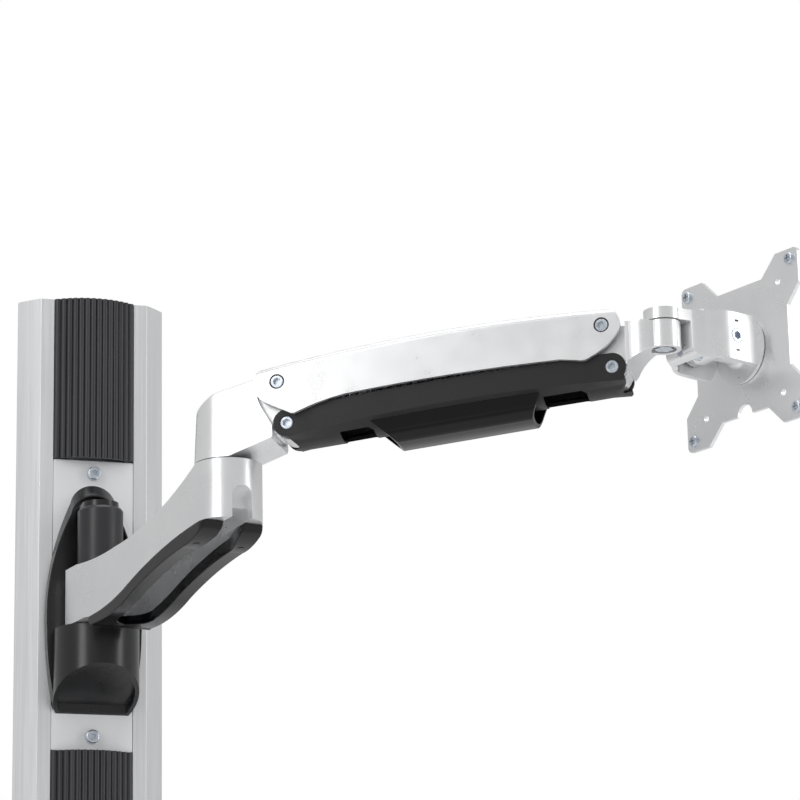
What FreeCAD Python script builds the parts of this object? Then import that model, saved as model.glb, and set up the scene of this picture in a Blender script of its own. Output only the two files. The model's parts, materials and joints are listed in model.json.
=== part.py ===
import FreeCAD, Part
import math
import os
import Sketcher

# Wall-track monitor arm, in millimetres.
# Frame: +Z up, +X along the wall, -Y out into the room. The origin lies on the wall plane,
# straight behind the centre of the bracket plate.

os.makedirs("parts", exist_ok=True)

V = FreeCAD.Vector
doc = FreeCAD.newDocument("monitor_arm")
sheet = doc.addObject("Spreadsheet::Sheet", "dims")

DIMENSIONS = {
    "track_top": 227.1,
    "track_depth": 16.0,
    "plate_half": 29.3,
    "plate_top": 106.2,
    "bolt_height": 96.2,
    "base_reach": 42.3,
    "base_turn": 78.7,
    "elbow_turn": 28.64,
    "head_turn": -19.72,
    "link_pitch": 5.47,
    "lower_length": 215.9,
    "link_length": 215.44,
    "pan_reach": 290.55,
    "lower_half": 22.3,
    "upper_half": 23.74,
    "inner_half": 20.0,
    "tongue_half": 16.4,
    "shaft_radius": 8.0,
    "bushing_radius": 10.0,
    "pin_radius": 4.4,
    "pin_ring": 5.0,
    "pan_bolt_radius": 5.0,
    "axle_radius": 5.1,
    "running_gap": 0.05,
    "tilt_reach": 41.26,
    "tilt_height": 108.8,
    "plate_reach": 70.25,
    "plate_sheet": 2.6,
    "vesa_small": 37.5,
    "vesa_large": 50.0,
}
for row, (alias, size) in enumerate(DIMENSIONS.items(), start=1):
    sheet.set("A%d" % row, alias)
    sheet.set("B%d" % row, str(size))
    sheet.setAlias("B%d" % row, alias)
doc.recompute()


def value(size):
    """A number as it is, or the value of an expression over the sheet."""
    if isinstance(size, str):
        result = sheet.evalExpression(size)
        return float(getattr(result, "Value", result))
    return float(size)


def give(thing, **sizes):
    """Set each property, bound to the sheet where the size is an expression."""
    for name, size in sizes.items():
        if isinstance(size, str):
            thing.setExpression(name, size)
        else:
            setattr(thing, name, size)


# ---- places of the moving links -------------------------------------------------------

def turned_about_z(degrees):
    return FreeCAD.Rotation(V(0, 0, 1), degrees)


def pitched(degrees):
    """Raises the local x axis by this angle."""
    return FreeCAD.Rotation(V(0, 1, 0), -degrees)


WALL = FreeCAD.Placement()
LOWER = FreeCAD.Placement(V(0, -value("dims.base_reach"), 0), turned_about_z(-value("dims.base_turn")))
ELBOW = LOWER.multVec(V(value("dims.lower_length"), 0, 0))
UPPER = FreeCAD.Placement(ELBOW, turned_about_z(-value("dims.elbow_turn")))
PAN = UPPER.multVec(V(value("dims.pan_reach"), 0, 0))
HEAD = FreeCAD.Placement(PAN, turned_about_z(-value("dims.head_turn")))

# The four pivots of the lift linkage, as (reach from the elbow axis, height).
PITCH = value("dims.link_pitch")
LINK = value("dims.link_length")
REAR_UPPER = (39.2, 91.0)
REAR_LOWER = (44.56, 63.8)
FRONT_UPPER = (REAR_UPPER[0] + LINK * math.cos(math.radians(PITCH)),
               REAR_UPPER[1] + LINK * math.sin(math.radians(PITCH)))
FRONT_LOWER = (REAR_LOWER[0] + LINK * math.cos(math.radians(PITCH)),
               REAR_LOWER[1] + LINK * math.sin(math.radians(PITCH)))
UPPER_LINK = UPPER.multiply(FreeCAD.Placement(V(REAR_UPPER[0], 0, REAR_UPPER[1]), pitched(PITCH)))
LOWER_LINK = UPPER.multiply(FreeCAD.Placement(V(REAR_LOWER[0], 0, REAR_LOWER[1]), pitched(PITCH)))

# The spring pulls on an anchor halfway up the line between the two rear pivots.
ANCHOR_RISE = 13.7
ANCHOR_LEAN = math.atan2(REAR_UPPER[0] - REAR_LOWER[0], REAR_UPPER[1] - REAR_LOWER[1])
ANCHOR = (REAR_LOWER[0] + ANCHOR_RISE * math.sin(ANCHOR_LEAN),
          REAR_LOWER[1] + ANCHOR_RISE * math.cos(ANCHOR_LEAN))
ROD = (ANCHOR_RISE * math.sin(ANCHOR_LEAN + math.radians(PITCH)),
       ANCHOR_RISE * math.cos(ANCHOR_LEAN + math.radians(PITCH)))


# ---- sketches and features ------------------------------------------------------------

def origin_feature(body, role):
    return [item for item in body.Origin.OriginFeatures if item.Role == role][0]


def circle_through(start, middle, end):
    """Centre and radius of the circle through three points."""
    curve = Part.Arc(V(*start, 0), V(*middle, 0), V(*end, 0)).toShape().Curve
    return curve.Center, curve.Radius


def arc_geometry(start, middle, end):
    """A counter-clockwise arc, and whether it runs from start to end."""
    centre, radius = circle_through(start, middle, end)
    angles = [math.atan2(p[1] - centre.y, p[0] - centre.x) for p in (start, middle, end)]
    forward = (angles[1] - angles[0]) % math.tau < (angles[2] - angles[0]) % math.tau
    first, last = (angles[0], angles[2]) if forward else (angles[2], angles[0])
    while last <= first:
        last += math.tau
    return Part.ArcOfCircle(Part.Circle(centre, V(0, 0, 1), radius), first, last), forward


def pin_point(sketch, edge, end, point):
    """Hold a vertex at its place, bound to the sheet where it is an expression."""
    for kind, size in zip(("DistanceX", "DistanceY"), point):
        index = sketch.addConstraint(Sketcher.Constraint(kind, -1, 1, edge, end, value(size)))
        if isinstance(size, str):
            sketch.setExpression("Constraints[%d]" % index, size)


def draw(sketch, outline):
    """A closed outline. (x, y) is a straight run, (x, y, (mx, my)) an arc through (mx, my)."""
    points = [tuple(value(size) for size in step[:2]) for step in outline]
    ends = []
    for number, step in enumerate(outline):
        start, end = points[number - 1], points[number]
        if len(step) == 3:
            middle = tuple(value(size) for size in step[2])
            geometry, forward = arc_geometry(start, middle, end)
            edge = sketch.addGeometry(geometry, False)
            level = abs(end[0] - start[0]) >= abs(end[1] - start[1])
            kind = "DistanceY" if level else "DistanceX"
            centre = geometry.Center
            offset = centre.y if level else centre.x
            sketch.addConstraint(Sketcher.Constraint(kind, -1, 1, edge, 3, offset))
            ends.append((edge, 1, 2) if forward else (edge, 2, 1))
        else:
            edge = sketch.addGeometry(Part.LineSegment(V(*start, 0), V(*end, 0)), False)
            ends.append((edge, 1, 2))
    for number, (edge, first, last) in enumerate(ends):
        before, _, before_last = ends[number - 1]
        sketch.addConstraint(Sketcher.Constraint("Coincident", before, before_last, edge, first))
        pin_point(sketch, edge, last, outline[number][:2])


def draw_circles(sketch, circles):
    """Circles as (x, y, radius)."""
    for x, y, radius in circles:
        edge = sketch.addGeometry(Part.Circle(V(value(x), value(y), 0), V(0, 0, 1), value(radius)), False)
        pin_point(sketch, edge, 3, (x, y))
        index = sketch.addConstraint(Sketcher.Constraint("Radius", edge, value(radius)))
        if isinstance(radius, str):
            sketch.setExpression("Constraints[%d]" % index, radius)


def new_body(name):
    return doc.addObject("PartDesign::Body", name)


def new_sketch(body, role, offset=0.0, outlines=(), circles=()):
    sketch = body.newObject("Sketcher::SketchObject", body.Name + "_sketch")
    sketch.AttachmentSupport = [(origin_feature(body, role), "")]
    sketch.MapMode = "FlatFace"
    sketch.AttachmentOffset = FreeCAD.Placement(V(0, 0, value(offset)), FreeCAD.Rotation())
    for outline in outlines:
        draw(sketch, outline)
    draw_circles(sketch, circles)
    return sketch


def pad(body, sketch, length, both_ways=False, backwards=False):
    feature = body.newObject("PartDesign::Pad", body.Name + "_pad")
    feature.Profile = sketch
    feature.SideType = "Symmetric" if both_ways else "One side"
    feature.Reversed = backwards
    give(feature, Length=length)
    doc.recompute()
    return feature


def pocket(body, sketch, length=None, both_ways=False, backwards=False):
    """A cut of this depth, or through everything. It stops if nothing was removed."""
    before = body.Shape.Volume
    feature = body.newObject("PartDesign::Pocket", body.Name + "_pocket")
    feature.Profile = sketch
    feature.SideType = "Symmetric" if both_ways else "One side"
    feature.Reversed = backwards
    if length is None:
        feature.Type = "ThroughAll"
    else:
        give(feature, Length=length)
    doc.recompute()
    if not body.Shape.Volume < before - 0.01:
        raise ValueError("a pocket in %s removes nothing" % body.Name)
    return feature


def cut_away(body, outlines, role="XZ_Plane"):
    """Remove these side outlines over the whole width."""
    for outline in outlines:
        pocket(body, new_sketch(body, role, outlines=[outline]), both_ways=True)


def bore(body, role, circles, offset=0.0, length=None, both_ways=False, backwards=False):
    sketch = new_sketch(body, role, offset=offset, circles=circles)
    return pocket(body, sketch, length=length, both_ways=both_ways, backwards=backwards)


def round_edges(body, radius, chosen):
    """Fillet the edges of the tip for which chosen(edge) is true."""
    base = body.Tip
    names = ["Edge%d" % (n + 1) for n, edge in enumerate(base.Shape.Edges) if chosen(edge)]
    if not names:
        raise ValueError("no edge to round on %s" % body.Name)
    feature = body.newObject("PartDesign::Fillet", body.Name + "_fillet")
    feature.Base = (base, names)
    give(feature, Radius=radius)
    doc.recompute()
    return feature


AXIS_TURN = {
    "x": FreeCAD.Rotation(V(0, 1, 0), 90),
    "y": FreeCAD.Rotation(V(1, 0, 0), -90),
    "z": FreeCAD.Rotation(),
}


def turned(name, outline, frame=WALL, at=(0, 0, 0), axis="z"):
    """A lathe-turned piece: the outline is (radius, height) about the given local axis."""
    body = new_body(name)
    sketch = new_sketch(body, "XZ_Plane", outlines=[outline])
    feature = body.newObject("PartDesign::Revolution", name + "_turn")
    feature.Profile = sketch
    feature.ReferenceAxis = (origin_feature(body, "Z_Axis"), [""])
    feature.Angle = 360
    doc.recompute()
    body.Placement = frame.multiply(FreeCAD.Placement(V(*at), AXIS_TURN[axis]))
    return body


def tube_outline(inner, outer, low, high):
    return [(inner, low), (outer, low), (outer, high), (inner, high)]


def hex_outline(across_flats, centre=(0.0, 0.0)):
    corner = across_flats / math.sqrt(3)
    steps = [math.radians(60 * n + 30) for n in range(6)]
    return [(centre[0] + corner * math.cos(a), centre[1] + corner * math.sin(a)) for a in steps]


def socket_head(body, across_flats, top, depth):
    """A hexagon socket sunk from the top of a turned head."""
    sketch = new_sketch(body, "XY_Plane", offset=top, outlines=[hex_outline(across_flats)])
    pocket(body, sketch, depth)


def collection(name, pieces):
    """Several loose pieces of one kind, kept as one sub-part."""
    group = doc.addObject("Part::Compound", name)
    group.Links = pieces
    doc.recompute()
    return group


NODES = {}


def keep(name, thing):
    thing.Label = name
    NODES[name] = thing
    return thing


# ---- wall track -----------------------------------------------------------------------

SLOT_HALF = 29.6
FLOOR = 2.6


def track_extrusion():
    """Aluminium channel with two front rails, swept-back wings and a slot for the clamps."""
    body = new_body("track")
    section = [
        (-53.7, 0.0), (53.7, 0.0), (53.7, -2.4), (39.3, "-dims.track_depth", (47.4, -8.6)),
        (SLOT_HALF, "-dims.track_depth"), (SLOT_HALF, "-dims.track_depth + 5.9"), (33.6, -10.1),
        (33.6, -FLOOR), (-33.6, -FLOOR), (-33.6, -10.1), (-SLOT_HALF, "-dims.track_depth + 5.9"),
        (-SLOT_HALF, "-dims.track_depth"), (-39.3, "-dims.track_depth"), (-53.7, -2.4, (-47.4, -8.6)),
    ]
    pad(body, new_sketch(body, "XY_Plane", outlines=[section]), "2 * dims.track_top", both_ways=True)
    for side in (-1, 1):
        hollow = [(side * x, y) for x, y in ((36.1, -FLOOR), (49.6, -FLOOR), (39.4, -12.6), (36.1, -13.2))]
        pocket(body, new_sketch(body, "XY_Plane", outlines=[hollow]), both_ways=True)
    bore(body, "XZ_Plane", [(0.0, -170.0, 3.25), (0.0, 170.0, 3.25)], both_ways=True)
    return body


def cover_strip(name, low):
    """Bulging snap-in cover with fourteen rounded ribs."""
    ribs = 14
    centre = 27.0
    valley, crest = 51.0, 52.6
    reach = math.asin(29.3 / 52.2)
    outline = [(-29.3, -16.2)]
    for rib in range(ribs):
        middle = reach * (2 * (rib + 0.5) / ribs - 1)
        end = reach * (2 * (rib + 1) / ribs - 1)
        low_radius = valley if rib < ribs - 1 else 52.2
        point = (low_radius * math.sin(end), centre - low_radius * math.cos(end))
        top = (crest * math.sin(middle), centre - crest * math.cos(middle))
        outline.append((point[0], point[1], top))
    outline[-1] = (29.3, -16.2, outline[-1][2])
    outline += [(29.3, -9.9), (31.2, -9.6), (29.3, -8.0), (27.1, -8.0), (27.1, -15.4)]
    outline += [(-27.1, -15.4, (0.0, -22.0)), (-27.1, -8.0), (-29.3, -8.0), (-31.2, -9.6), (-29.3, -9.9)]
    body = new_body(name)
    height = "dims.track_top - dims.plate_top - 0.5"
    pad(body, new_sketch(body, "XY_Plane", offset=low, outlines=[outline]), height)
    return body


def bracket_plate():
    """Steel plate between the rails that carries the pivot housing."""
    body = new_body("plate")
    outline = [("-dims.plate_half", "-dims.plate_top"), ("dims.plate_half", "-dims.plate_top"),
               ("dims.plate_half", "dims.plate_top"), ("-dims.plate_half", "dims.plate_top")]
    pad(body, new_sketch(body, "XZ_Plane", offset=10.4, outlines=[outline]), 5.2)
    holes = [(0.0, "dims.bolt_height", 3.3), (0.0, "-dims.bolt_height", 3.3),
             (-20.0, -60.0, 2.6), (20.0, -60.0, 2.6)]
    bore(body, "XZ_Plane", holes, both_ways=True)
    round_edges(body, 1.0, lambda edge: edge.BoundBox.YLength > 5 and abs(edge.BoundBox.XMin) > 29)
    return body


def bracket_bolt(name, height):
    body = turned(name, [(0, -12.8), (3.0, -12.8), (3.0, 0), (4.9, 0), (4.9, 3.4), (3.6, 5.2, (4.6, 4.7)),
                         (0, 5.2)])
    socket_head(body, 4.0, 5.2, 3.0)
    body.Placement = FreeCAD.Placement(V(0, -15.65, height), FreeCAD.Rotation(V(1, 0, 0), 90))
    return body


def clamp_bar(name, height):
    """Threaded bar that the bolt pulls up against the lips of the track."""
    body = new_body(name)
    pad(body, new_sketch(body, "XZ_Plane", offset=5.0, outlines=[
        [(-33.0, height - 9), (33.0, height - 9), (33.0, height + 9), (-33.0, height + 9)]]), 5.0)
    bore(body, "XZ_Plane", [(0.0, height, 3.0)], both_ways=True)
    return body


HOUSING_RIM = -22.6
HOUSING_DEPTH = 61.2
BARREL_FOOT = 26.2
BEZEL_BACK = 15.6
BEZEL_FRONT = 23.5
LUG_LOW = 63.7
LUG_TOP = 67.7


def barrel_plan(depth, foot):
    """Full round front that bulges from the plate to this depth in the room."""
    return [(foot, -BEZEL_BACK), (-foot, -BEZEL_BACK, (0.0, -depth))]


def oval_outline(foot, side, waist, shoulder, top):
    """The tall oval of the bezel: half widths at the foot, the rim, halfway up and the shoulder."""
    width, height = shoulder
    flank = side - 1.6
    return [(foot, -77.0), (side, -21.7, (flank, -48.0)), (width, height, (waist, 28.0)),
            (-width, height, (0.0, top)), (-side, -21.7, (-waist, 28.0)), (-foot, -77.0, (-flank, -48.0))]


def sloped_bezel(body):
    """Rim that narrows from the plate to its front edge."""
    back = new_sketch(body, "XZ_Plane", offset=BEZEL_BACK,
                      outlines=[oval_outline(28.6, 34.7, 31.0, (16.7, 73.7), 87.6)])
    front = new_sketch(body, "XZ_Plane", offset=BEZEL_FRONT,
                       outlines=[oval_outline(27.4, 34.2, 30.2, (17.5, 63.8), 78.7)])
    feature = body.newObject("PartDesign::AdditiveLoft", "bezel_loft")
    feature.Profile = back
    feature.Sections = [front]
    doc.recompute()


def pivot_housing():
    """Cast housing: sloped oval bezel, lower barrel with an arched underside, and an upper lug."""
    body = new_body("housing")
    sloped_bezel(body)
    pad(body, new_sketch(body, "XY_Plane", offset=HOUSING_RIM, outlines=[barrel_plan(HOUSING_DEPTH, BARREL_FOOT)]),
        62.0, backwards=True)
    cut_away(body, [[(-75.0, -43.0), (-15.0, -80.4), (-15.0, -95.0), (-75.0, -95.0)]], role="YZ_Plane")
    opening = [(33.4, HOUSING_RIM), (16.6, 63.8, (29.4, 26.0)), (-16.6, 63.8, (0.0, 77.8)),
               (-33.4, HOUSING_RIM, (-29.4, 26.0))]
    pocket(body, new_sketch(body, "XZ_Plane", offset=17.6, outlines=[opening]), 8.0, backwards=True)
    lug = [(-13.0, -17.0), (-13.0, -42.3), (13.0, -42.3, (0.0, -55.3)), (13.0, -17.0)]
    pad(body, new_sketch(body, "XY_Plane", offset=LUG_LOW, outlines=[lug]), LUG_TOP - LUG_LOW)
    axis = [(0.0, "-dims.base_reach", "dims.shaft_radius")]
    bore(body, "XY_Plane", axis, offset=LUG_TOP - 1.0, length=5.0)
    bore(body, "XY_Plane", axis, offset=HOUSING_RIM, length=24.0)
    bore(body, "XZ_Plane", [(-20.0, -60.0, 2.0), (20.0, -60.0, 2.0)], offset=15.0, length=9.0,
         backwards=True)
    for side in (-1, 1):
        beside = [(side * x, z) for x, z in ((29.45, -95.0), (45.0, -95.0), (45.0, 95.0), (29.45, 95.0))]
        pocket(body, new_sketch(body, "XZ_Plane", offset=15.0, outlines=[beside]), 1.1, backwards=True)
    recess = new_body("housing_recess")
    pad(recess, new_sketch(recess, "XY_Plane", offset=-90.0, outlines=[barrel_plan(HOUSING_DEPTH - 3.5, BARREL_FOOT - 3.2)]), 60.0)
    cut_away(recess, [[(-75.0, -37.0), (-15.0, -74.4), (-15.0, -20.0), (-75.0, -20.0)],
                      [(-17.2, -95.0), (-10.0, -95.0), (-10.0, -20.0), (-17.2, -20.0)]], role="YZ_Plane")
    housing = doc.addObject("Part::Cut", "housing_cut")
    housing.Base = body
    housing.Tool = recess
    doc.recompute()
    return housing


def housing_screw(name, side):
    body = turned(name, [(0, -8.0), (2.0, -8.0), (2.0, 5.02), (4.4, 5.02), (4.4, 7.0), (0, 7.0)])
    socket_head(body, 2.5, 7.0, 1.6)
    body.Placement = FreeCAD.Placement(V(side * 20.0, -15.4, -60.0), FreeCAD.Rotation(V(1, 0, 0), -90))
    return body


def wall_side():
    keep("track_extrusion", track_extrusion())
    keep("cover_strip_upper", cover_strip("cover_upper", "dims.plate_top + 0.5"))
    keep("cover_strip_lower", cover_strip("cover_lower", "-dims.track_top"))
    keep("bracket_plate", bracket_plate())
    bolt_height = value("dims.bolt_height")
    for word, height in (("upper", bolt_height), ("lower", -bolt_height)):
        keep("bracket_bolt_" + word, bracket_bolt("bolt_" + word, height))
        keep("clamp_bar_" + word, clamp_bar("bar_" + word, height))
    keep("pivot_housing", pivot_housing())
    for word, side in (("left", -1), ("right", 1)):
        keep("housing_screw_" + word, housing_screw("fixing_" + word, side))
    base = (0, -value("dims.base_reach"), 0)
    shaft_top = LUG_TOP - 1.05
    keep("base_shaft", turned("shaft", [(0, -46.0), ("dims.shaft_radius", -46.0),
                                        ("dims.shaft_radius", shaft_top), (0, shaft_top)], at=base))
    keep("spacer_sleeve", turned("sleeve", [("dims.shaft_radius", 19.7), (16.2, 19.7), (16.2, 61.4),
                                            (14.6, 63.5), ("dims.shaft_radius", 63.5)], at=base))


# ---- lower arm ------------------------------------------------------------------------

BARREL_TOP = 43.1
SLOT_HALF_WIDTH = 7.2
SLOT_SHOULDER = 17.9
CHANNEL_HALF = 12.0
ELBOW_STACK = 75.0
ARM_BORDER = [(32.0, -23.2), (106.6, -12.6, (71.5, -20.4)), (225.0, 3.4, (161.2, -1.9))]
LIP_BORDER = [(225.0, 3.1), (106.6, -12.9, (161.2, -2.2)), (32.0, -23.5, (71.5, -20.7))]


def lower_arm_casting():
    """Cast arm: flat round root on the base shaft, swept up to the elbow barrel, open below."""
    body = new_body("lower_arm")
    half, length = "dims.lower_half", "dims.lower_length"
    plan = [(-10.0, "-dims.lower_half", (-24.4, 0.0)), (length, "-dims.lower_half"),
            (length, half, ("dims.lower_length + dims.lower_half", 0.0)), (-10.0, half)]
    pad(body, new_sketch(body, "XY_Plane", offset=-32.0, outlines=[plan]), 90.0)
    above = [(-40.0, 19.0), (10.0, 19.0), (80.0, 16.8, (42.0, 16.4)), (212.6, BARREL_TOP, (150.0, 24.3)),
             (260.0, BARREL_TOP), (260.0, 70.0), (-40.0, 70.0)]
    below = [(-40.0, -22.0), (26.0, -22.0)] + ARM_BORDER + [(260.0, 3.4), (260.0, -40.0), (-40.0, -40.0)]
    cut_away(body, [above, below])
    hollow = [(36.0, -40.0), (36.0, 11.0), (80.0, 12.0), (190.0, 31.0, (146.0, 19.6)), (190.0, -40.0)]
    pocket(body, new_sketch(body, "XZ_Plane", outlines=[hollow]), 38.0, both_ways=True)
    gutter = [(180.0, -40.0), (260.0, -40.0), (260.0, 12.0), (180.0, 12.0)]
    pocket(body, new_sketch(body, "XZ_Plane", outlines=[gutter]), 2 * SLOT_HALF_WIDTH, both_ways=True)
    slot = [(-SLOT_HALF_WIDTH, 0.0), (SLOT_HALF_WIDTH, 0.0), (SLOT_HALF_WIDTH, SLOT_SHOULDER),
            (-SLOT_HALF_WIDTH, SLOT_SHOULDER, (0.0, SLOT_SHOULDER + SLOT_HALF_WIDTH))]
    pocket(body, new_sketch(body, "YZ_Plane", offset=227.0, outlines=[slot]), 20.0, backwards=True)
    bore(body, "XY_Plane", [(0.0, 0.0, "dims.bushing_radius")], both_ways=True)
    bore(body, "XY_Plane", [(length, 0.0, "dims.shaft_radius")], offset=60.0, length=46.0)
    body.Placement = LOWER
    return body


def cable_lip(name, side):
    """Curved plastic rim under one side of the arm, leaving a channel down the middle."""
    body = new_body(name)
    outline = LIP_BORDER + [(40.0, -29.5, (33.0, -27.5)), (106.6, -21.5, (74.0, -28.6)),
                            (190.0, -8.5, (150.0, -12.8)), (222.0, -1.0, (208.0, -6.4))]
    pad(body, new_sketch(body, "XZ_Plane", outlines=[outline]), 2 * value("dims.lower_half"), both_ways=True)
    outer = value("dims.lower_half") * side
    channel, slot = CHANNEL_HALF * side, (SLOT_HALF_WIDTH + 0.3) * side
    plan = [(20.0, -outer), (240.0, -outer), (240.0, slot), (214.0, slot), (192.0, channel), (68.0, channel),
            (46.0, 0.25 * side, (53.0, 0.72 * channel)), (20.0, 0.25 * side)]
    pocket(body, new_sketch(body, "XY_Plane", outlines=[plan]), both_ways=True)
    beyond = [("dims.lower_length", outer, (value("dims.lower_length") + value("dims.lower_half") * 0.7071,
                                            outer * 0.7071)),
              ("dims.lower_length", 30.0 * side), (250.0, 30.0 * side), (250.0, 0.0),
              ("dims.lower_length + dims.lower_half", 0.0)]
    pocket(body, new_sketch(body, "XY_Plane", outlines=[beyond]), both_ways=True)
    body.Placement = LOWER
    return body


def lower_arm():
    keep("lower_arm_casting", lower_arm_casting())
    for word, low, high in (("lower", -22.0, -3.0), ("upper", 0.0, 19.0)):
        keep("base_bushing_" + word, turned("base_bush_" + word, tube_outline(
            "dims.shaft_radius + dims.running_gap", "dims.bushing_radius", low, high), frame=LOWER))
    keep("base_thrust_washer", turned("base_thrust", tube_outline(
        "dims.shaft_radius + 0.3", 17.0, HOUSING_RIM + 0.05, HOUSING_RIM + 0.55), frame=LOWER))
    keep("cable_lip_left", cable_lip("lip_left", -1))
    keep("cable_lip_right", cable_lip("lip_right", 1))
    elbow = (value("dims.lower_length"), 0, 0)
    keep("elbow_shaft", turned("elbow_pivot", [(0, 14.1), ("dims.shaft_radius", 14.1),
                               ("dims.shaft_radius", ELBOW_STACK - 0.5), (0, ELBOW_STACK - 0.5)],
                               frame=LOWER, at=elbow))
    keep("elbow_thrust_washer", turned("elbow_thrust", tube_outline(
        "dims.shaft_radius + 0.3", 18.0, BARREL_TOP, BARREL_TOP + 0.45), frame=LOWER, at=elbow))


# ---- elbow bracket --------------------------------------------------------------------

BRACKET_LOW = 43.65
BRACKET_TAPER = 2.6
DEEP_RADIUS = 9.0


def on_circle(centre, radius, degrees):
    angle = math.radians(degrees)
    return (centre[0] + radius * math.cos(angle), centre[1] + radius * math.sin(angle))


def elbow_bracket():
    """Cast elbow: round body on the elbow shaft with a slotted tongue for the link pins."""
    body = new_body("elbow_body")
    half = "dims.lower_half"
    plan = [(36.0, "-dims.lower_half"), (36.0, half), (0.0, half), (0.0, "-dims.lower_half", (-22.3, 0.0))]
    round_body = pad(body, new_sketch(body, "XY_Plane", offset=BRACKET_LOW, outlines=[plan]), 60.0)
    round_body.TaperAngle = -BRACKET_TAPER
    doc.recompute()
    above = [(-40.0, 73.0), (-22.0, 77.0), (-6.0, 87.0), (23.6, 95.2), (23.6, 130.0), (-40.0, 130.0)]
    front = [(50.0, 40.0), (50.0, 130.0), (23.6, 130.0), (23.6, 95.2), (31.0, 70.0, (25.2, 82.0)),
             (35.2, 62.5), (34.7, 54.2, (35.6, 58.0)), (4.0, 43.0), (4.0, 40.0)]
    cut_away(body, [above, front])
    round_edges(body, 1.5, lambda edge: edge.BoundBox.ZMin > 76.0 and edge.BoundBox.ZLength > 1)
    wide = [(16.0, 56.0), on_circle(REAR_LOWER, 7.6, -150),
            on_circle(REAR_LOWER, 7.6, 30) + (on_circle(REAR_LOWER, 7.6, -40),),
            on_circle(REAR_UPPER, 6.8, 0),
            on_circle(REAR_UPPER, 6.8, 150) + (on_circle(REAR_UPPER, 6.8, 75),), (29.0, 88.0), (16.0, 88.0)]
    tongue = new_sketch(body, "XZ_Plane", outlines=[wide])
    pad(body, tongue, "2 * dims.tongue_half", both_ways=True)
    deep = [(16.0, 50.5), on_circle(REAR_LOWER, DEEP_RADIUS, -150),
            on_circle(REAR_LOWER, DEEP_RADIUS, 30) + (on_circle(REAR_LOWER, DEEP_RADIUS, -40),),
            on_circle(REAR_UPPER, 6.8, 0), (16.0, 80.0)]
    pad(body, new_sketch(body, "XZ_Plane", outlines=[deep]), 21.0, both_ways=True)
    hook_slot = [(24.5, 66.0), (70.0, 59.0), (70.0, 110.0), (24.5, 110.0)]
    pocket(body, new_sketch(body, "XZ_Plane", outlines=[hook_slot]), 13.0, both_ways=True)
    pins = [REAR_UPPER + ("dims.pin_radius",), REAR_LOWER + ("dims.pin_radius",), ANCHOR + (2.5,)]
    bore(body, "XZ_Plane", pins, both_ways=True)
    bore(body, "XY_Plane", [(0.0, 0.0, "dims.bushing_radius")], offset=110.0, length=80.0)
    bore(body, "XY_Plane", [(0.0, 0.0, 13.0)], offset=110.0, length=110.0 - ELBOW_STACK)
    body.Placement = UPPER
    return body


def cross_pin(name, pivot, half_length, frame=UPPER):
    """Hinge pin across a link, flush at both sides, with a hexagon socket at each end."""
    radius, inset = "dims.pin_radius", "dims.pin_radius - 0.5"
    body = turned(name, [(0, -half_length), (inset, -half_length), (radius, -half_length + 0.5),
                         (radius, half_length - 0.5), (inset, half_length), (0, half_length)])
    for sign in (-1, 1):
        sketch = new_sketch(body, "XY_Plane", offset=sign * half_length, outlines=[hex_outline(4.6)])
        pocket(body, sketch, 2.5, backwards=sign < 0)
    body.Placement = frame.multiply(FreeCAD.Placement(V(pivot[0], 0, pivot[1]), AXIS_TURN["y"]))
    return body


def bushing_pair(name, frame, reach, inner_y, outer_y):
    """Flanged rings on both cheeks of a link, running on the pin."""
    hole = "dims.pin_radius + dims.running_gap"
    pieces = []
    for side in (-1, 1):
        low, high = sorted((side * inner_y, side * outer_y))
        ring = turned("%s_%d" % (name, side + 1), tube_outline(hole, "dims.pin_ring", low, high),
                      at=(reach, 0, 0), axis="y")
        pieces.append(ring)
    group = collection(name, pieces)
    group.Placement = frame
    return group


def elbow_side():
    keep("elbow_bracket", elbow_bracket())
    keep("elbow_bushing", turned("elbow_bush", tube_outline(
        "dims.shaft_radius + dims.running_gap", "dims.bushing_radius", BRACKET_LOW, ELBOW_STACK), frame=UPPER))
    low, top = ELBOW_STACK + 0.1, ELBOW_STACK + 5.0
    screw = turned("elbow_fixing", [(0, low), (12.5, low), (12.5, low + 1.5), (6.0, low + 1.5), (6.0, top),
                                    (0, top)], frame=UPPER)
    socket_head(screw, 5.0, top, 3.0)
    keep("elbow_retaining_screw", screw)
    keep("elbow_cap", turned("elbow_cover", [(0, top + 0.6), (12.95, top + 0.6), (12.95, top + 2.6),
                                            (0, top + 3.2)], frame=UPPER))
    outer = value("dims.upper_half")
    inner = value("dims.inner_half")
    keep("rear_upper_pin", cross_pin("pin_rear_upper", REAR_UPPER, outer))
    keep("rear_lower_pin", cross_pin("pin_rear_lower", REAR_LOWER, inner))
    keep("spring_anchor_pin", turned("anchor", [(0, -12.0), (2.5, -12.0), (2.5, 12.0), (0, 12.0)],
                                     frame=UPPER, at=(ANCHOR[0], 0, ANCHOR[1]), axis="y"))


# ---- upper and lower links ------------------------------------------------------------

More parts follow.
